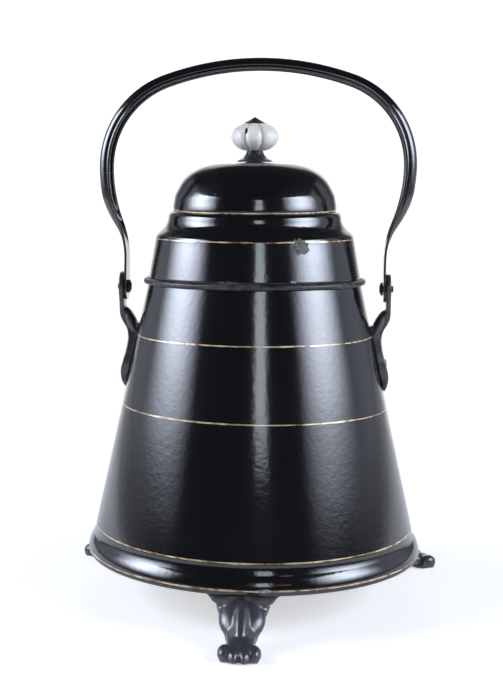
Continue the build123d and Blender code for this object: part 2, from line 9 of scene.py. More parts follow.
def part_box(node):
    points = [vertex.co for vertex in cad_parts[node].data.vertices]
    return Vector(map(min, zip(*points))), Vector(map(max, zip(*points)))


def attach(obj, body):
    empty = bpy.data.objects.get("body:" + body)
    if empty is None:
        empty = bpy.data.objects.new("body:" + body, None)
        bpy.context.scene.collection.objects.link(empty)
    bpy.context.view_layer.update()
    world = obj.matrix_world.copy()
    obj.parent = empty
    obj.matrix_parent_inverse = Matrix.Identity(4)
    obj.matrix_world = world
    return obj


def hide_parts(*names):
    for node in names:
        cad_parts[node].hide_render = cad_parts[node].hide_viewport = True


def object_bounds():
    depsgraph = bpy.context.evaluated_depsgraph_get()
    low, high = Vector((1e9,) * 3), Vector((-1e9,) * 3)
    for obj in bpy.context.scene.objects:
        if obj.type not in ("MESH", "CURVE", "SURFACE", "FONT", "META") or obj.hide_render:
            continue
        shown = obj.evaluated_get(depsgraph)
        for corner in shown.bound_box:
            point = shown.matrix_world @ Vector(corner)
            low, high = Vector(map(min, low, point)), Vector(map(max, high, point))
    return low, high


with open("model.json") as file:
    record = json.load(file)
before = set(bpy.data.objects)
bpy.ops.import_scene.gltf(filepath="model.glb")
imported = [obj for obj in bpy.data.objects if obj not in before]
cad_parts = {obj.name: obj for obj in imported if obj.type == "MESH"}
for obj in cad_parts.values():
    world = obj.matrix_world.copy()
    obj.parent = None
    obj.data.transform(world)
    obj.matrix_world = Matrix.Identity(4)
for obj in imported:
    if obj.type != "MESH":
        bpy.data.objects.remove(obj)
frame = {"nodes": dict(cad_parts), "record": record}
cad_low, cad_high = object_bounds()
cad_nodes = frame["nodes"]
scene = bpy.context.scene
scene.view_settings.view_transform = "Standard"
MM = 0.001


def placed(name, data):
    """A new object in the scene, from its mesh, lamp or camera."""
    made = bpy.data.objects.new(name, data)
    scene.collection.objects.link(made)
    return made


# Camera, from the ellipses of the gold lines and the places of the feet and ears
PHOTO_W, PHOTO_H = 503, 700
SENSOR_WIDTH = 36.0
FOCAL_PX = 1230.0
PRINCIPAL_X, PRINCIPAL_Y = 195.0, 205.0
CAMERA_DEPTH = 0.935
CAMERA_HEIGHT = 0.2902
AXIS_OFFSET = 0.0453
CAMERA_TURN = math.radians(5.9)
CAMERA_ROLL = math.radians(0.3)
CLIP_NEAR, CLIP_FAR = 0.05, 50.0


def make_camera():
    """A level camera, turned a little to the left, whose lens shift puts the pot in its place."""
    data = bpy.data.cameras.new("camera")
    data.sensor_fit = "AUTO"
    data.sensor_width = SENSOR_WIDTH
    data.lens = SENSOR_WIDTH * FOCAL_PX / PHOTO_H
    data.shift_x = (PHOTO_W / 2 - PRINCIPAL_X) / PHOTO_H
    data.shift_y = -(PHOTO_H / 2 - PRINCIPAL_Y) / PHOTO_H
    data.clip_start = CLIP_NEAR
    data.clip_end = CLIP_FAR
    made = placed("camera", data)
    right = Vector((math.cos(CAMERA_TURN), math.sin(CAMERA_TURN), 0.0))
    ahead = Vector((-math.sin(CAMERA_TURN), math.cos(CAMERA_TURN), 0.0))
    place = -AXIS_OFFSET * right - CAMERA_DEPTH * ahead
    place.z = CAMERA_HEIGHT
    made.matrix_world = (
        Matrix.Translation(place)
        @ Matrix.Rotation(CAMERA_TURN, 4, "Z")
        @ Matrix.Rotation(math.pi / 2, 4, "X")
        @ Matrix.Rotation(CAMERA_ROLL, 4, "Z")
    )
    scene.camera = made
    return made


camera = make_camera()


class Nodes:
    """The shader nodes of one tree. Each input is a value or another node's output."""

    def __init__(self, tree):
        self.tree = tree

    def set(self, node, inputs):
        for key, value in inputs.items():
            socket = node.inputs[key]
            if isinstance(value, bpy.types.NodeSocket):
                self.tree.links.new(value, socket)
            elif socket.type == "RGBA":
                socket.default_value = (*value, 1.0)
            else:
                socket.default_value = value

    def add(self, kind, inputs, **settings):
        made = self.tree.nodes.new(kind)
        for key, value in settings.items():
            setattr(made, key, value)
        self.set(made, inputs)
        return made

    def maths(self, operation, a, b=0.0):
        return self.add("ShaderNodeMath", {0: a, 1: b}, operation=operation).outputs[0]

    def plus(self, a, b):
        return self.maths("ADD", a, b)

    def minus(self, a, b):
        return self.maths("SUBTRACT", a, b)

    def times(self, a, b):
        return self.maths("MULTIPLY", a, b)

    def most(self, a, b):
        return self.maths("MAXIMUM", a, b)

    def vector(self, operation, *inputs):
        made = self.add("ShaderNodeVectorMath", dict(enumerate(inputs)), operation=operation)
        return made.outputs["Value" if operation in ("LENGTH", "DOT_PRODUCT") else "Vector"]

    def ramp(self, value, low, high, to_low=0.0, to_high=1.0, smooth=True):
        """The value's way from low to high, as a way from to_low to to_high."""
        inputs = {
            "Value": value, "From Min": low, "From Max": high, "To Min": to_low, "To Max": to_high,
        }
        form = "SMOOTHSTEP" if smooth else "LINEAR"
        return self.add("ShaderNodeMapRange", inputs, interpolation_type=form).outputs["Result"]

    def noise(self, place, scale, detail=2.0, rough=0.5):
        inputs = {"Vector": place, "Scale": scale, "Detail": detail, "Roughness": rough}
        return self.add("ShaderNodeTexNoise", inputs).outputs["Fac"]

    def mix(self, share, a, b):
        """Colour a, or colour b where the share is 1."""
        return self.add("ShaderNodeMix", {0: share, 6: a, 7: b}, data_type="RGBA").outputs[2]

    def bump(self, height, strength, depth, under=None):
        """A bumped normal, with its depth in mm, on top of another one where that is given."""
        inputs = {"Strength": strength, "Distance": depth * MM, "Height": height}
        if under is not None:
            inputs["Normal"] = under
        return self.add("ShaderNodeBump", inputs).outputs[0]

    def surface(self, kind, inputs):
        """The tree's surface shader."""
        shader = self.add(kind, inputs)
        self.add("ShaderNodeOutputMaterial", {"Surface": shader.outputs[0]})


def new_material(name):
    """An empty material, its nodes, and the place on the object."""
    material = bpy.data.materials.new(name)
    material.use_nodes = True
    material.node_tree.nodes.clear()
    nodes = Nodes(material.node_tree)
    return material, nodes, nodes.add("ShaderNodeTexCoord", {}).outputs["Object"]


def spot(nodes, place, centre, radii, ragged):
    """A mask that is 1 inside a ragged patch round a point, given in mm, and 0 outside."""
    moved = nodes.vector("SUBTRACT", place, [v * MM for v in centre])
    away = nodes.vector("LENGTH", nodes.vector("MULTIPLY", moved, [1 / (r * MM) for r in radii]))
    edge = nodes.noise(place, 2.2 / (min(radii) * MM), 3.0, 0.6)
    away = nodes.plus(away, nodes.times(nodes.minus(edge, 0.5), 2 * ragged))
    return nodes.ramp(away, 1.05, 0.9)


def specks(nodes, place, scale, size, clouds, density):
    """A mask of sparse specks, which lie only where the clouds are dense."""
    inputs = {"Vector": place, "Scale": scale, "Randomness": 1.0}
    cells = nodes.add("ShaderNodeTexVoronoi", inputs).outputs["Distance"]
    return nodes.times(nodes.ramp(cells, *size), nodes.ramp(clouds, *density))


def gold(nodes, place, across, height, line):
    """A mask of one painted line, uneven in its width and worn through in places."""
    line_height, half_width, wear, slant = line
    level = nodes.minus(height, nodes.times(across, slant))
    away = nodes.maths("ABSOLUTE", nodes.minus(level, line_height * MM))
    thin, thick = 0.55 * half_width * MM, 1.1 * half_width * MM
    reach = nodes.ramp(nodes.noise(place, 70.0, 3.0), 0.3, 0.7, thin, thick)
    stripe = nodes.ramp(nodes.minus(reach, away), -0.1 * MM, 0.14 * MM)
    whole = nodes.ramp(nodes.noise(place, 150.0, 5.0, 0.7), wear - 0.1, wear + 0.06)
    return nodes.times(stripe, whole)


# Finishes
ENAMEL_DARK, ENAMEL_LIGHT = (0.0026, 0.0024, 0.0040), (0.0048, 0.0044, 0.0062)
GOLD_DARK, GOLD_LIGHT = (0.30, 0.15, 0.06), (0.86, 0.68, 0.42)
SPECK_GREY = (0.30, 0.30, 0.29)
# Chips in the enamel are grey iron, white underglaze, dark dirt or rust
GREY, WHITE = (0.17, 0.162, 0.16), (0.5, 0.5, 0.48)
BROWN, ORANGE = (0.06, 0.026, 0.018), (0.3, 0.12, 0.05)


def enamel(name, lines=(), chips=(), tip=0.0):
    """Black enamel on sheet.

    A gold line is (height, half width, wear, slant to the right), and a chip is (centre, radii,
    colour), in mm. The tip is how much the lines sink to the front.
    """
    material, nodes, place = new_material(name)
    parts = nodes.add("ShaderNodeSeparateXYZ", {0: place}).outputs
    height = nodes.minus(parts["Z"], nodes.times(parts["Y"], tip))
    wobble = nodes.ramp(nodes.noise(place, 38.0), 0.0, 1.0, -0.35 * MM, 0.35 * MM, smooth=False)
    height = nodes.plus(height, wobble)
    base = nodes.mix(nodes.noise(place, 9.0, 3.0, 0.55), ENAMEL_DARK, ENAMEL_LIGHT)
    rough = nodes.ramp(nodes.noise(place, 26.0, 4.0, 0.6), 0.3, 0.75, 0.2, 0.3)
    metal = 0.0
    for line in lines:
        stripe = gold(nodes, place, parts["X"], height, line)
        tarnish = nodes.ramp(nodes.noise(place, 75.0, 4.0, 0.7), 0.35, 0.62)
        base = nodes.mix(stripe, base, nodes.mix(tarnish, GOLD_DARK, GOLD_LIGHT))
        metal = nodes.most(metal, nodes.times(stripe, 0.35))
        rough = nodes.most(rough, nodes.times(stripe, 0.45))
    clouds = nodes.noise(place, 22.0, 1.0)
    speck = specks(nodes, place, 95.0, (0.055, 0.035), clouds, (0.6, 0.66))
    base = nodes.mix(speck, base, SPECK_GREY)
    worn = 0.0
    for centre, radii, colour in chips:
        patch = spot(nodes, place, centre, radii, 0.55)
        grain = nodes.ramp(nodes.noise(place, 700.0, 4.0, 0.7), 0.4, 0.6)
        dark = [0.25 * c for c in colour]
        base = nodes.mix(patch, base, nodes.mix(grain, dark, colour))
        worn = nodes.most(worn, patch)
    coat = 1.0
    normal = nodes.bump(nodes.noise(place, 14.0, 1.0, 0.4), 0.3, 2.0)
    if chips:
        rough = nodes.most(rough, nodes.times(worn, 0.7))
        coat = nodes.ramp(worn, 0.0, 1.0, 1.0, 0.1)
        normal = nodes.bump(nodes.minus(1.0, worn), 0.8, 0.4, normal)
    orange_peel = nodes.bump(nodes.noise(place, 260.0, 4.0, 0.6), 0.6, 0.13, normal)
    nodes.surface("ShaderNodeBsdfPrincipled", {
        "Base Color": base,
        "Metallic": metal,
        "Roughness": rough,
        "Specular IOR Level": 0.1,
        "Coat Weight": coat,
        "Coat Roughness": 0.1,
        "Coat IOR": 1.8,
        "Normal": orange_peel,
        "Coat Normal": orange_peel,
    })
    return material


def worn_black_painted_glints(name):
    """Black enamel rubbed down to dull grey-brown iron, with small bright streaks painted in as
    highlights.
    """
    material, nodes, place = new_material(name)
    cloud = nodes.noise(place, 120.0, 5.0, 0.7)
    painted_glint_streak = nodes.noise(place, 420.0, 4.0, 0.65)
    base = nodes.mix(nodes.ramp(cloud, 0.38, 0.62), (0.008, 0.0075, 0.008), (0.055, 0.048, 0.044))
    # Painted highlight: small light streaks in the colour stand in for the bead's streaky glints.
    base = nodes.mix(nodes.ramp(painted_glint_streak, 0.62, 0.72), base, (0.22, 0.2, 0.18))
    nodes.surface("ShaderNodeBsdfPrincipled", {
        "Base Color": base,
        "Roughness": nodes.ramp(cloud, 0.35, 0.65, 0.25, 0.5),
        "Normal": nodes.bump(cloud, 0.8, 0.4),
    })
    return material


def cast_iron(name, dark, light):
    """Satin black on cast iron, with soft lumps and a fine grain."""
    material, nodes, place = new_material(name)
    lumps = nodes.bump(nodes.noise(place, 160.0, 3.0, 0.55), 0.2, 0.8)
    nodes.surface("ShaderNodeBsdfPrincipled", {
        "Base Color": nodes.mix(nodes.noise(place, 60.0, 5.0, 0.6), dark, light),
        "Roughness": nodes.ramp(nodes.noise(place, 120.0, 5.0, 0.65), 0.3, 0.75, 0.3, 0.42),
        "Normal": nodes.bump(nodes.noise(place, 900.0, 3.0, 0.6), 0.2, 0.2, lumps),
        "Coat Weight": 1.0,
        "Coat Roughness": 0.24,
        "Coat Normal": lumps,
    })
    return material


def milk_glass(name):
    """White pressed glass with dirt in one groove and a few dark specks."""
    material, nodes, place = new_material(name)
    cloud = nodes.noise(place, 130.0, 4.0, 0.6)
    base = nodes.mix(cloud, (0.88, 0.85, 0.79), (0.94, 0.91, 0.85))
    speck = specks(nodes, place, 260.0, (0.16, 0.1), nodes.noise(place, 90.0), (0.56, 0.62))
    base = nodes.mix(nodes.times(speck, 0.7), base, (0.12, 0.08, 0.06))
    dirt = spot(nodes, place, (-5.6, -14.2, 346.5), (1.1, 2.6, 3.4), 0.3)
    nodes.surface("ShaderNodeBsdfPrincipled", {
        "Base Color": nodes.mix(dirt, base, (0.03, 0.026, 0.024)),
        "Roughness": 0.3,
        "Subsurface Weight": 0.3,
        "Subsurface Scale": 0.004,
        "Normal": nodes.bump(nodes.noise(place, 110.0), 0.15, 0.6),
    })
    return material


def clouded_steel(name, dark, light):
    """Dull steel with clouds of a darker and a lighter colour, such as rust."""
    material, nodes, place = new_material(name)
    cloud = nodes.noise(place, 350.0, 5.0, 0.7)
    nodes.surface("ShaderNodeBsdfPrincipled", {
        "Base Color": nodes.mix(nodes.ramp(cloud, 0.35, 0.65), dark, light),
        "Metallic": 0.3,
        "Roughness": 0.5,
        "Normal": nodes.bump(cloud, 0.5, 0.3),
    })
    return material


def paint(piece, material):
    piece.data.materials.clear()
    piece.data.materials.append(material)


# Pieces. Points are given in mm.
LID_TIP, TIP_LOW_Z, TIP_HIGH_Z = 0.04, 247.0, 285.0


def smooth_share(value, low, high):
    """How far a value is on its way from low to high, with a soft start and end."""
    share = min(1.0, max(0.0, (value - low) / (high - low)))
    return share * share * (3 - 2 * share)


def tipped(point):
    """The lid above its skirt leans a little to the front, as in the photograph."""
    x, y, z = point
    return x, y, z + LID_TIP * y * smooth_share(z, TIP_LOW_Z, TIP_HIGH_Z)


def dress(piece, node, body, material):
    """Finish a piece, and let it take a CAD node's place."""
    for polygon in piece.data.polygons:
        polygon.use_smooth = True
    paint(piece, material)
    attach(piece, body)
    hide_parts(node)


def new_piece(name, node, body, slot, material, points, faces):
    if body == "lid":
        points = [tipped(point) for point in points]
    mesh = bpy.data.meshes.new(name)
    mesh.from_pydata([Vector(point) * MM for point in points], [], faces)
    mesh.validate()
    shape = bmesh.new()
    shape.from_mesh(mesh)
    bmesh.ops.recalc_face_normals(shape, faces=shape.faces)
    shape.to_mesh(mesh)
    shape.free()
    piece = placed(name, mesh)
    dress(piece, node, body, material)
    return piece


def skin(rings, ends=True):
    """Faces over a row of closed rings with as many points each, with a face over each end."""
    count = len(rings[0])
    points = [point for ring in rings for point in ring]
    faces = []
    for i in range(len(rings) - 1):
        for j in range(count):
            k = (j + 1) % count
            faces.append((i * count + j, i * count + k, (i + 1) * count + k, (i + 1) * count + j))
    if ends:
        faces.append(tuple(range(count))[::-1])
        faces.append(tuple((len(rings) - 1) * count + j for j in range(count)))
    return points, faces


def stacked(steps, columns, form):
    """A closed skin round the Z axis: form(share of the way up, angle) is (radius, height)."""
    rings = []
    for i in range(steps + 1):
        ring = []
        for j in range(columns):
            angle = 2 * math.pi * j / columns
            r, z = form(i / steps, angle)
            ring.append((r * math.cos(angle), r * math.sin(angle), z))
        rings.append(ring)
    return skin(rings)


def spun(columns, outline):
    """A ring round the Z axis: outline(angle) is its closed outline of (radius, height)."""
    rings = []
    for j in range(columns + 1):
        angle = 2 * math.pi * (j % columns) / columns
        rings.append([(r * math.cos(angle), r * math.sin(angle), z) for r, z in outline(angle)])
    return skin(rings, ends=False)


def smooth_row(points, steps):
    """A Catmull-Rom curve through a row of points."""
    row = [points[0]] + list(points) + [points[-1]]
    made = []
    for i in range(1, len(row) - 2):
        a, b, c, d = (Vector(row[i + n]) for n in (-1, 0, 1, 2))
        for k in range(steps):
            t = k / steps
            square, cube = 2 * a - 5 * b + 4 * c - d, 3 * b - a - 3 * c + d
            made.append(0.5 * (2 * b + (c - a) * t + square * t**2 + cube * t**3))
    made.append(Vector(points[-1]))
    return made


def box_mm(node):
    """The low and high corner of a CAD node's box."""
    return [[v / MM for v in corner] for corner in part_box(node)]


# Knob: eight full lobes with sharp grooves between them
KNOB_LOBES = 8
KNOB_GROOVE = 0.86
KNOB_END = math.radians(62.0)


def lobe_shape(angle):
    """0 in a groove and 1 on the back of a lobe."""
    half = math.pi / KNOB_LOBES
    off = (angle + half) % (2 * half) - half
    return math.sqrt(max(0.0, 1 - (abs(off) / half) ** 2.2))


def make_knob():
    low, high = box_mm("knob")
    middle, half = (low[2] + high[2]) / 2, (high[2] - low[2]) / 2

    def form(share, angle):
        level = KNOB_END * math.sin(math.pi * (share - 0.5))
        depth = 1 - KNOB_GROOVE * math.cos(level) ** 0.3
        r = high[0] * math.cos(level) * (1 - depth * (1 - lobe_shape(angle)))
        return r, middle + half * math.sin(level) / math.sin(KNOB_END)

    glass = milk_glass("milk_glass")
    shape = stacked(44, KNOB_LOBES * 20, form)
    new_piece("knob_melon", "knob", "lid", "knob_glass", glass, *shape)


def make_cap():
    """Rusty pointed nut, its hem drawn down in a point over each groove."""
    low, high = box_mm("knob_cap")
    bottom, rise = low[2], high[2] - low[2]
    hem = 0.06

    def form(share, angle):
        point = 1 - lobe_shape(angle)
        reach = 8.0 * (1 - share) ** 1.35 + 0.9 * (1 - share**6) + 0.15
        r = reach * (0.86 + 0.16 * point * (1 - share) ** 0.5)
        drawn = hem * rise * point * (1 - share) ** 4
        return r, bottom + rise * (hem + (1 - hem) * share) - drawn

    rust = clouded_steel("rusty_cap", (0.016, 0.006, 0.005), (0.06, 0.022, 0.012))
    shape = stacked(14, KNOB_LOBES * 12, form)
    new_piece("knob_cap_point", "knob_cap", "lid", "cap_steel", rust, *shape)


# The collar's flare, as (radius, height above its foot), below its top of radius 6.3 mm
COLLAR_FLARE = [(7.5, 7.2), (9.8, 5.0), (12.5, 3.5), (13.6, 2.5), (13.4, 1.6), (11.5, 0.8)]
COLLAR_FOOT_RADIUS, COLLAR_BORE = 7.8, 2.9


def make_collar():
    """Flared collar between knob and dome, with a rounded rim."""
    low, high = box_mm("knob_collar")
    bottom, top = low[2], high[2]
    rise = top - bottom
    flare = smooth_row([(6.3, rise), (6.4, rise - 1.0)] + COLLAR_FLARE, 6)
    profile = [(r, bottom + up) for r, up in flare]
    profile += [(COLLAR_FOOT_RADIUS, bottom), (COLLAR_BORE, bottom), (COLLAR_BORE, top)]
    black = cast_iron("collar_black", (0.008, 0.0078, 0.009), (0.016, 0.015, 0.018))
    shape = spun(96, lambda angle: profile)
    new_piece("knob_collar_flare", "knob_collar", "lid", "enamel", black, *shape)


make_knob()
make_cap()
make_collar()

# Lid: dome and skirt as spun sheet, as (radius, height)
LID_SHEET = 1.0
LID_COLUMNS = 240
DOME_SIDE = [
    (61.8, 285.9), (62.1, 288.0), (61.9, 291.0), (61.4, 294.0), (60.7, 297.8), (59.0, 301.6),
]
SHOULDER_R, SHOULDER_Z, SHOULDER_RADIUS = 29.9, 288.8, 31.7
SHOULDER_RISE = 2.4
DOME_TOP = [
    (27.0, 323.05), (23.0, 323.3), (19.0, 323.4), (16.0, 323.4), (14.0, 323.1), (12.0, 322.2),
    (9.5, 321.3), (6.0, 321.2), (3.2, 321.2),
]
SKIRT_RADIUS, SKIRT_FOOT_Z, SKIRT_TAPER, SKIRT_HEIGHT, SKIRT_STEPS = 80.5, 233.0, 5.2, 31.0, 8
WAIST = [
    (75.4, 263.6), (75.05, 265.9), (74.1, 268.2), (72.0, 270.4), (69.5, 272.7), (67.6, 275.0),
    (66.5, 277.3), (65.9, 279.5), (65.6, 281.6), (65.1, 283.6), (64.0, 285.1), (62.9, 285.8),
    (61.7, 285.6),
]
BEAD_R, BEAD_Z, BEAD_HALF_WIDTH, BEAD_HALF_HEIGHT, BEAD_SIDES = 81.7, 233.0, 2.25, 2.2, 16
DOME_LINES = [(286.7, 0.55, 0.4, 0.0)]
SKIRT_LINES = [(265.4, 0.5, 0.43, 0.0)]
SKIRT_CHIPS = [
    ((36.2, -66.6, 260.9), (7.0, 5.0, 5.4), GREY),
    ((-16.0, -80.0, 236.0), (9.0, 4.0, 0.8), GREY),
    ((32.0, -74.5, 236.6), (2.6, 4.0, 1.0), WHITE),
]


def sheet(outer):
    """A closed outline of lid sheet: a row of points, and the row set off to its left."""
    inner = []
    for i in range(len(outer)):
        before, after = outer[max(0, i - 1)], outer[min(len(outer) - 1, i + 1)]
        along = Vector((after[0] - before[0], after[1] - before[1])).normalized()
        inner.append((outer[i][0] - LID_SHEET * along.y, outer[i][1] + LID_SHEET * along.x))
    return list(outer) + inner[::-1]


def make_dome():
    outer = [tuple(point) for point in smooth_row(DOME_SIDE, 4)]
    for degrees in range(31, 87, 4):
        angle = math.radians(degrees)
        centre_z = SHOULDER_Z + SHOULDER_RISE * (degrees - 27) / 60
        r = SHOULDER_R + SHOULDER_RADIUS * math.cos(angle)
        outer.append((r, centre_z + SHOULDER_RADIUS * math.sin(angle)))
    outline = sheet(outer + DOME_TOP)
    black = enamel("dome_enamel", DOME_LINES, tip=LID_TIP)
    shape = spun(LID_COLUMNS, lambda angle: outline)
    new_piece("lid_dome_spun", "lid_dome", "lid", "enamel", black, *shape)


def bead_outline(angle):
    """The bead round the skirt's foot, a little uneven."""
    swell = 0.1 * math.sin(7 * angle) + 0.08 * math.sin(17 * angle + 1)
    row = []
    for k in range(BEAD_SIDES):
        turn = 2 * math.pi * k / BEAD_SIDES
        r = BEAD_R + (BEAD_HALF_WIDTH + swell) * math.cos(turn)
        row.append((r, BEAD_Z + (BEAD_HALF_HEIGHT + swell) * math.sin(turn)))
    return row


def make_skirt():
    """The lid's cone and rounded waist as one sheet, with the bead as a second skin round it."""
    outer = []
    for i in range(SKIRT_STEPS):
        r = SKIRT_RADIUS - SKIRT_TAPER * i / SKIRT_STEPS
        outer.append((r, SKIRT_FOOT_Z + SKIRT_HEIGHT * i / SKIRT_STEPS))
    outline = sheet(outer + [tuple(point) for point in smooth_row(WAIST, 4)])
    points, faces = spun(LID_COLUMNS, lambda angle: outline)
    bead_points, bead_faces = spun(LID_COLUMNS, bead_outline)
    moved_faces = [tuple(len(points) + corner for corner in face) for face in bead_faces]
    look = enamel("skirt_enamel", SKIRT_LINES, SKIRT_CHIPS, tip=LID_TIP / 2)
    shape = points + bead_points, faces + moved_faces
    piece = new_piece("lid_skirt_spun", "lid_skirt", "lid", "enamel", look, *shape)
    piece.data.materials.append(worn_black_painted_glints("worn_bead_painted_glints"))
    for polygon in piece.data.polygons[len(faces):]:
        polygon.material_index = 1


make_dome()
make_skirt()

# Handle: the path of the CAD handle, with a rolled edge along each side and a slight lean
PIVOT_Z = frame["record"]["behaviour"]["joints"][0]["pos_m"][2] / MM
STRIP_X, STRIP_TOP_Z, STRIP_BEND = 96.9, 247.4, 80.7
STRIP_HALF_WIDTH, STRIP_END = 9.5, 10.2
BAIL_HALF_WIDTH, BAIL_WIDEST_Z = 111.2, 321.0
BAIL_SIDE_RADIUS, BAIL_SIDE_TURN = 64.0, math.radians(70.0)
FORMING_LOW_Z, FORMING_HIGH_Z = 253.0, 303.0
END_STEPS, STRIP_STEPS = 14, 6
HANDLE_LEAN, LEAN_START = 2.9, 12.0


def handle_path():
    """Stations (x, z, heading) up the right side to the top, with headings from straight up."""
    bend = 2 * math.atan2(BAIL_HALF_WIDTH - STRIP_X, BAIL_WIDEST_Z - STRIP_TOP_Z)
    upper = (BAIL_WIDEST_Z - STRIP_TOP_Z) / math.sin(bend) - STRIP_BEND
    top = BAIL_SIDE_RADIUS + (BAIL_HALF_WIDTH - BAIL_SIDE_RADIUS) / math.cos(BAIL_SIDE_TURN)
    stations = []
    for i in range(END_STEPS + 1):
        down = STRIP_END * math.cos(math.pi / 2 * i / END_STEPS) * 0.999
        stations.append((STRIP_X, PIVOT_Z - down, 0.0))
    for i in range(1, STRIP_STEPS + 1):
        stations.append((STRIP_X, PIVOT_Z + (STRIP_TOP_Z - PIVOT_Z) * i / STRIP_STEPS, 0.0))
    x, z, heading = stations[-1]
    for radius, turn, steps in (
        (STRIP_BEND, bend, 16),
        (upper, -bend, 18),
        (BAIL_SIDE_RADIUS, -BAIL_SIDE_TURN, 36),
        (top, BAIL_SIDE_TURN - math.pi / 2, 24),
    ):
        step = turn / steps
        chord = 2 * radius * math.sin(abs(step) / 2)
        for _ in range(steps):
            x += chord * math.sin(heading + step / 2)
            z += chord * math.cos(heading + step / 2)
            heading += step
            stations.append((x, z, heading))
    return stations


# Half of the section, from the crest round the edge to the hollow, as (outwards, aside)
CHANNEL_HALF = [
    (9.2, 0.0), (9.1, 2.5), (8.6, 5.2), (7.4, 7.6), (5.4, 9.2), (3.4, 9.8), (2.5, 9.6), (2.0, 9.95),
    (1.1, 10.25), (0.2, 9.8), (0.0, 8.9), (0.6, 8.1), (1.6, 7.9), (3.4, 7.9), (5.2, 7.2),
    (6.6, 5.6), (7.3, 3.0), (7.4, 0.0),
]
STRIP_HALF = [
    (1.8, 0.0), (1.8, 2.0), (1.8, 4.0), (1.8, 6.0), (1.8, 7.6), (1.76, 8.6), (1.7, 9.0), (1.5, 9.3),
    (1.0, 9.5), (0.4, 9.4), (0.1, 9.1), (0.0, 8.6), (0.0, 7.8), (0.0, 6.4), (0.0, 4.8), (0.0, 3.2),
    (0.0, 1.6), (0.0, 0.0),
]


def handle_section(z):
    """The closed outline (outwards, aside) of the strip, the channel, or a form between them."""
    form = smooth_share(z, FORMING_LOW_Z, FORMING_HIGH_Z)
    half = []
    for channel, strip in zip(CHANNEL_HALF, STRIP_HALF):
        half.append(Vector(channel) * form + Vector(strip) * (1 - form))
    below = max(0.0, PIVOT_Z - z)
    reach = min(STRIP_HALF_WIDTH, math.sqrt(max(0.2, STRIP_END**2 - below**2)))
    scale = reach / STRIP_HALF_WIDTH
    right = [(point.x, point.y * scale) for point in smooth_row(half, 3)]
    return right + [(outwards, -aside) for outwards, aside in right[-2:0:-1]]


def make_handle():
    right = handle_path()
    left = [(-x, z, -heading) for x, z, heading in reversed(right[:-1])]
    rings = []
    for side, stations in ((1, right), (-1, left)):
        for x, z, heading in stations:
            out_x, out_z = side * math.cos(heading), -side * math.sin(heading)
            lean = HANDLE_LEAN * max(0.0, z - PIVOT_Z - LEAN_START) / (cad_high.z / MM - PIVOT_Z)
            section = handle_section(z)
            rings.append([(x + u * out_x + lean, v, z + u * out_z) for u, v in section])
    black = enamel("handle_enamel_look")
    new_piece("handle_bail", "handle", "handle", "handle_enamel", black, *skin(rings))


make_handle()

# Castings: the CAD solid, with rounder forms added, melted together and smoothed
FOOT_VOXEL, FOOT_PASSES = 0.7, 14
BRACKET_VOXEL, BRACKET_PASSES = 0.45, 24


def casting(node, name, voxel, passes, material, forms):
    shape = bmesh.new()
    shape.from_mesh(cad_nodes[node].data)
    for form in forms:
        bmesh.ops.create_uvsphere(shape, u_segments=24, v_segments=16, radius=1.0, matrix=form)
    mesh = bpy.data.meshes.new(name)
    shape.to_mesh(mesh)
    shape.free()
    piece = placed(name, mesh)
    melt = piece.modifiers.new("melt", "REMESH")
    melt.mode = "VOXEL"
    melt.voxel_size = voxel * MM
    soften = piece.modifiers.new("soften", "SMOOTH")
    soften.factor = 0.5
    soften.iterations = passes
    graph = bpy.context.evaluated_depsgraph_get()
    melted = bpy.data.meshes.new_from_object(piece.evaluated_get(graph))
    piece.modifiers.clear()
    piece.data = melted
    melted.name = name
    low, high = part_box(node)
    for vertex in melted.vertices:
        vertex.co = [min(max(v, a), b) for v, a, b in zip(vertex.co, low, high)]
    dress(piece, node, "pot", material)


def ellipsoid(centre, half_lengths, tilt, turn=0.0):
    """The matrix of an ellipsoid, in mm, with a tilt about Y and then a turn about Z in degrees."""
    return (
        Matrix.Rotation(math.radians(turn), 4, "Z")
        @ Matrix.Translation(Vector(centre) * MM)
        @ Matrix.Rotation(math.radians(tilt), 4, "Y")
        @ Matrix.Diagonal([length * MM for length in half_lengths] + [1.0])
    )


def foot_forms(turn):
    """Toes, sole, cuffs, thigh and shin, for a foot along X that is then turned to its place."""
    forms = []
    for side in (-1, 1):
        forms.append(((153.0, side * 9.3, 4.8), (6.8, 5.0, 5.2), 8))
        forms.append(((155.6, side * 3.3, 4.0), (6.2, 3.6, 4.4), 8))
        forms.append(((150.0, side * 5.0, 2.2), (11.0, 8.6, 2.6), 0))
        forms.append(((118.0, side * 11.8, 28.3), (3.8, 9.8, 4.3), 0))
    forms.append(((124.0, 0.0, 17.5), (17.0, 15.8, 8.0), 38))
    forms.append(((133.0, 0.0, 18.0), (18.0, 5.0, 5.5), 38))
    return [ellipsoid(*form, turn) for form in forms]


# The paws' iron is lighter than the other iron: painted sheen, standing in for the mirrored light
# of a pale ceiling.
paw_iron_painted_sheen = cast_iron("paw_iron_painted_sheen", (0.035, 0.033, 0.039), (0.06, 0.057, 0.065))
for node, turn in (("foot_front", -90), ("foot_right", 30), ("foot_left", 150)):
    casting(node, node + "_paw", FOOT_VOXEL, FOOT_PASSES, paw_iron_painted_sheen, foot_forms(turn))
# The brackets' iron is made lighter than the collar's: partly painted sheen, standing in for soft
# highlights along their curves.
bracket_iron_painted_sheen = cast_iron("bracket_iron_painted_sheen", (0.02, 0.019, 0.022), (0.045, 0.043, 0.049))
for node, side in (("bracket_right", 1), ("bracket_left", -1)):
    web = ellipsoid((side * 93.2, 0.0, 199.5), (4.2, 8.0, 14.0), side * 24)
    casting(node, node + "_cast", BRACKET_VOXEL, BRACKET_PASSES, bracket_iron_painted_sheen, [web])

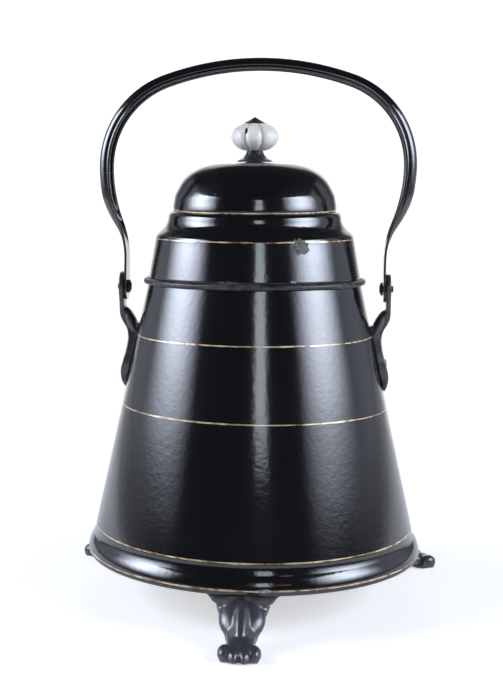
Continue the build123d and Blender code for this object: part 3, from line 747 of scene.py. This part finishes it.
# The other CAD nodes keep their shape and get their finish
BODY_LINES = [(192.7, 0.55, 0.4, 0.0), (140.8, 0.55, 0.38, -0.008), (51.9, 0.58, 0.41, 0.0)]
BASE_LINES = [(35.3, 0.58, 0.42, 0.0)]
BASE_CHIPS = [
    ((14.5, -122.4, 35.6), (5.0, 4.0, 1.1), WHITE),
    ((7.0, -123.7, 33.4), (4.5, 4.0, 1.5), BROWN),
    ((27.0, -118.9, 39.2), (5.0, 4.0, 0.35), ORANGE),
    ((29.0, -116.5, 44.4), (4.5, 4.0, 0.3), ORANGE),
    ((15.0, -118.8, 45.3), (7.0, 4.0, 0.25), WHITE),
    ((-52.8, -112.0, 34.2), (11.0, 10.0, 0.45), ORANGE),
    ((-30.0, -119.5, 34.0), (8.0, 6.0, 0.4), ORANGE),
    ((-8.0, -123.0, 34.4), (9.0, 6.0, 0.4), ORANGE),
]
STEEL_NODES = (
    "body_floor", "foot_rivets", "bracket_rivets", "pivot_rivets", "knob_stud", "knob_washer",
    "knob_nut",
)
paint(cad_nodes["body_shell"], enamel("body_enamel", BODY_LINES))
paint(cad_nodes["base_ring"], enamel("base_enamel", BASE_LINES, BASE_CHIPS))
dark_steel = clouded_steel("dark_steel", (0.03, 0.028, 0.026), (0.07, 0.06, 0.055))
for node in STEEL_NODES:
    paint(cad_nodes[node], dark_steel)

# Light: tall soft panels at the sides and a narrow one in front, as the enamel mirrors them, with
# weak fills behind the sides and a weak panel high behind the pot. Each is (name, degrees to the
# right, distance, width, height of its foot, height from which it is full, height of its top,
# level, colour, softness of its sides).
COOL, COOL_FRONT, PLAIN = (0.78, 0.85, 1.0), (0.85, 0.95, 1.0), (1.0, 1.0, 1.0)
PANELS = [
    ("left_panel", -81, 1.5, 1.75, 0.15, 0.72, 1.3, 13.0, COOL, 0.5),
    ("right_panel", 68, 1.5, 1.75, 0.15, 0.72, 1.3, 11.5, COOL, 0.5),
    ("left_fill", -112, 1.8, 3.2, 0.02, 0.2, 1.5, 0.5, COOL, 0.5),
    ("right_fill", 108, 1.8, 3.2, 0.02, 0.2, 1.5, 0.5, COOL, 0.5),
    ("front_strip", 6, 1.5, 0.28, 0.38, 0.5, 0.85, 3.6, COOL_FRONT, 0.1),
    ("high_back", 180, 3.0, 3.4, 1.0, 1.3, 3.2, 1.1, PLAIN, 0.3),
]


def direction(degrees_right):
    """Level direction from the pot, counted to the photograph's right from the camera."""
    toward = math.atan2(camera.location.y, camera.location.x)
    turn = toward + math.radians(degrees_right)
    return Vector((math.cos(turn), math.sin(turn), 0.0))


def panel(name, degrees_right, distance, width, low, full, high, level, colour, soft):
    """A soft panel that faces the pot and fades to its sides and its foot."""
    data = bpy.data.lights.new(name, "AREA")
    data.shape = "RECTANGLE"
    data.size = width
    data.size_y = high - low
    data.energy = level * math.pi * width * (high - low)
    data.color = colour
    data.use_nodes = True
    nodes = Nodes(data.node_tree)
    place = nodes.add("ShaderNodeNewGeometry", {}).outputs["Parametric"]
    parts = nodes.add("ShaderNodeSeparateXYZ", {0: place}).outputs
    aside = nodes.maths("ABSOLUTE", nodes.minus(parts["X"], 0.5))
    fade = nodes.ramp(aside, 0.5, 0.5 - soft)
    rise = nodes.ramp(parts["Y"], 0.0, (full - low) / (high - low))
    nodes.set(data.node_tree.nodes["Emission"], {"Strength": nodes.times(fade, rise)})
    lamp = placed(name, data)
    lamp.visible_camera = False
    middle = Vector((0.0, 0.0, (low + high) / 2))
    lamp.location = direction(degrees_right) * distance + middle
    lamp.rotation_euler = (middle - lamp.location).to_track_quat("-Z", "Y").to_euler()


for row in PANELS:
    panel(*row)


# Surroundings: a room, a floor and a backdrop that the camera sees as white
ROOM_TINT, ROOM_LEVEL = (0.97, 0.98, 1.0), 0.04
PAPER_DARK, PAPER_LIGHT = (0.84, 0.84, 0.84), (0.86, 0.86, 0.86)
GLOW_NEAR, GLOW_FAR, GLOW_ELSEWHERE = 0.55, 0.97, 0.3
FLOOR_REACH, FLOOR_SIDES = 14.0, 48
WALL_Y, WALL_LEFT, WALL_RIGHT, WALL_TOP = 5.0, -1.8, 1.0, 2.2


def shown_behind(nodes, place, away, elsewhere):
    """What the enamel shows of the surroundings: all that lies behind the pot, little elsewhere."""
    behind = nodes.vector("DOT_PRODUCT", place, direction(180.0))
    return nodes.ramp(nodes.maths("DIVIDE", behind, away), 0.8, 0.97, elsewhere, 1.0)


def seen_rays(nodes, share):
    """1 for camera rays, and the share for mirrored and transmitted rays."""
    rays = nodes.add("ShaderNodeLightPath", {}).outputs
    mirrored = nodes.most(rays["Is Glossy Ray"], rays["Is Transmission Ray"])
    return nodes.most(rays["Is Camera Ray"], nodes.times(mirrored, share))


def make_room():
    """A dim room, white to the camera and in the mirror image of what lies behind the pot."""
    world = bpy.data.worlds.new("room")
    scene.world = world
    world.use_nodes = True
    nodes = Nodes(world.node_tree)
    way = nodes.add("ShaderNodeTexCoord", {}).outputs["Generated"]
    pale = seen_rays(nodes, shown_behind(nodes, way, 1.0, 0.0))
    background = world.node_tree.nodes["Background"]
    nodes.set(background, {"Strength": nodes.most(pale, ROOM_LEVEL), "Color": ROOM_TINT})


def pale_paper(name):
    """Pale matt paper with a plain glow, which the enamel shows mostly behind the pot."""
    material, nodes, place = new_material(name)
    away = nodes.vector("LENGTH", place)
    colour = nodes.mix(nodes.noise(place, 30.0), PAPER_DARK, PAPER_LIGHT)
    matt = nodes.add("ShaderNodeBsdfDiffuse", {"Color": colour})
    seen = seen_rays(nodes, shown_behind(nodes, place, away, GLOW_ELSEWHERE))
    level = nodes.ramp(away, 0.3, 3.0, GLOW_NEAR, GLOW_FAR)
    glow = nodes.add("ShaderNodeEmission", {"Strength": nodes.times(seen, level)})
    nodes.surface("ShaderNodeAddShader", {0: matt.outputs[0], 1: glow.outputs[0]})
    return material


def stage_sheet(name, points, material):
    mesh = bpy.data.meshes.new(name)
    mesh.from_pydata(points, [], [tuple(range(len(points)))])
    made = placed(name, mesh)
    paint(made, material)


make_room()
paper = pale_paper("pale_paper")
turns = [2 * math.pi * i / FLOOR_SIDES for i in range(FLOOR_SIDES)]
disc = [(FLOOR_REACH * math.cos(turn), FLOOR_REACH * math.sin(turn), 0.0) for turn in turns]
stage_sheet("floor", disc, paper)
foot = [(WALL_LEFT, WALL_Y, 0.0), (WALL_RIGHT, WALL_Y, 0.0)]
head = [(WALL_RIGHT, WALL_Y, WALL_TOP), (WALL_LEFT, WALL_Y, WALL_TOP)]
stage_sheet("backdrop", foot + head, paper)
